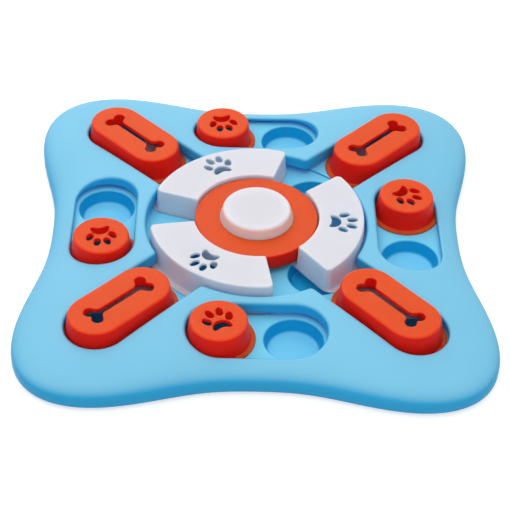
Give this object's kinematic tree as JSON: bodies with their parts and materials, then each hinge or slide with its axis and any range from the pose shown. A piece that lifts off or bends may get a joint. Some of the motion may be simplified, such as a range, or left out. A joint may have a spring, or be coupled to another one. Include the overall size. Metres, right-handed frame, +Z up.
{
  "type": "dog puzzle feeder toy",
  "caption": "Square rounded treat puzzle board with hidden food wells, sliding knobs, sliding bars and turning fan-shaped lids round a central hub.",
  "frame": {"origin": "centre of the bounding box on the surface the toy stands on, under the middle of the hub", "axes": "+Z up out of the wells, +X to the right and -Y towards the viewer in front"},
  "size_m": [0.2998, 0.2998, 0.0349],
  "materials": {
    "cover": "semi-matte moulded",
    "tray": "semi-matte moulded",
    "orange": "semi-matte moulded",
    "white": "semi-matte moulded",
    "steel": "zinc plated",
    "rubber": "matte"
  },
  "bodies": {
    "toy_base": {"base_tray": "tray", "side_wells": "tray", "corner_wells": "tray", "ring_wells": "tray", "top_cover": "cover", "cover_screws": "steel", "hub_screw": "steel", "hub_washer": "steel", "rubber_foot_front_right": "rubber", "rubber_foot_back_right": "rubber", "rubber_foot_back_left": "rubber", "rubber_foot_front_left": "rubber"},
    "hub": {"hub_disc": "orange", "hub_button": "white"},
    "fan_back_left": {"fan_cover_back_left": "white"},
    "fan_front_left": {"fan_cover_front_left": "white"},
    "fan_right": {"fan_cover_right": "white"},
    "bone_front_right": {"bone_slider_front_right": "orange"},
    "bone_back_right": {"bone_slider_back_right": "orange"},
    "bone_back_left": {"bone_slider_back_left": "orange"},
    "bone_front_left": {"bone_slider_front_left": "orange"},
    "paw_front": {"paw_slider_front": "orange"},
    "paw_right": {"paw_slider_right": "orange"},
    "paw_back": {"paw_slider_back": "orange"},
    "paw_left": {"paw_slider_left": "orange"}
  },
  "joints": [
    {"name": "hub_turn", "type": "hinge", "parent": "toy_base", "child": "hub", "pos_m": [0, 0, 0.0165], "axis": [0, 0, 1], "continuous": true},
    {"name": "fan_back_left_turn", "type": "hinge", "parent": "hub", "child": "fan_back_left", "pos_m": [0, 0, 0.01185], "axis": [0, 0, 1], "range_deg": [-12, 12]},
    {"name": "fan_front_left_turn", "type": "hinge", "parent": "hub", "child": "fan_front_left", "pos_m": [0, 0, 0.01185], "axis": [0, 0, 1], "range_deg": [-12, 12]},
    {"name": "fan_right_turn", "type": "hinge", "parent": "hub", "child": "fan_right", "pos_m": [0, 0, 0.01185], "axis": [0, 0, 1], "range_deg": [-12, 12]},
    {"name": "bone_front_right_slide", "type": "slide", "parent": "toy_base", "child": "bone_front_right", "axis": [-0.7071, 0.7071, 0], "range_m": [-0.0029, 0.0028]},
    {"name": "bone_back_right_slide", "type": "slide", "parent": "toy_base", "child": "bone_back_right", "axis": [-0.7071, -0.7071, 0], "range_m": [0, 0.006]},
    {"name": "bone_back_left_slide", "type": "slide", "parent": "toy_base", "child": "bone_back_left", "axis": [0.7071, -0.7071, 0], "range_m": [0, 0.006]},
    {"name": "bone_front_left_slide", "type": "slide", "parent": "toy_base", "child": "bone_front_left", "axis": [0.7071, 0.7071, 0], "range_m": [0, 0.006]},
    {"name": "paw_front_slide", "type": "slide", "parent": "toy_base", "child": "paw_front", "axis": [1, 0, 0], "range_m": [0, 0.0466]},
    {"name": "paw_right_slide", "type": "slide", "parent": "toy_base", "child": "paw_right", "axis": [0, -1, 0], "range_m": [0, 0.0466]},
    {"name": "paw_back_slide", "type": "slide", "parent": "toy_base", "child": "paw_back", "axis": [1, 0, 0], "range_m": [0, 0.0466]},
    {"name": "paw_left_slide", "type": "slide", "parent": "toy_base", "child": "paw_left", "axis": [0, 1, 0], "range_m": [0, 0.0466]}
  ]
}
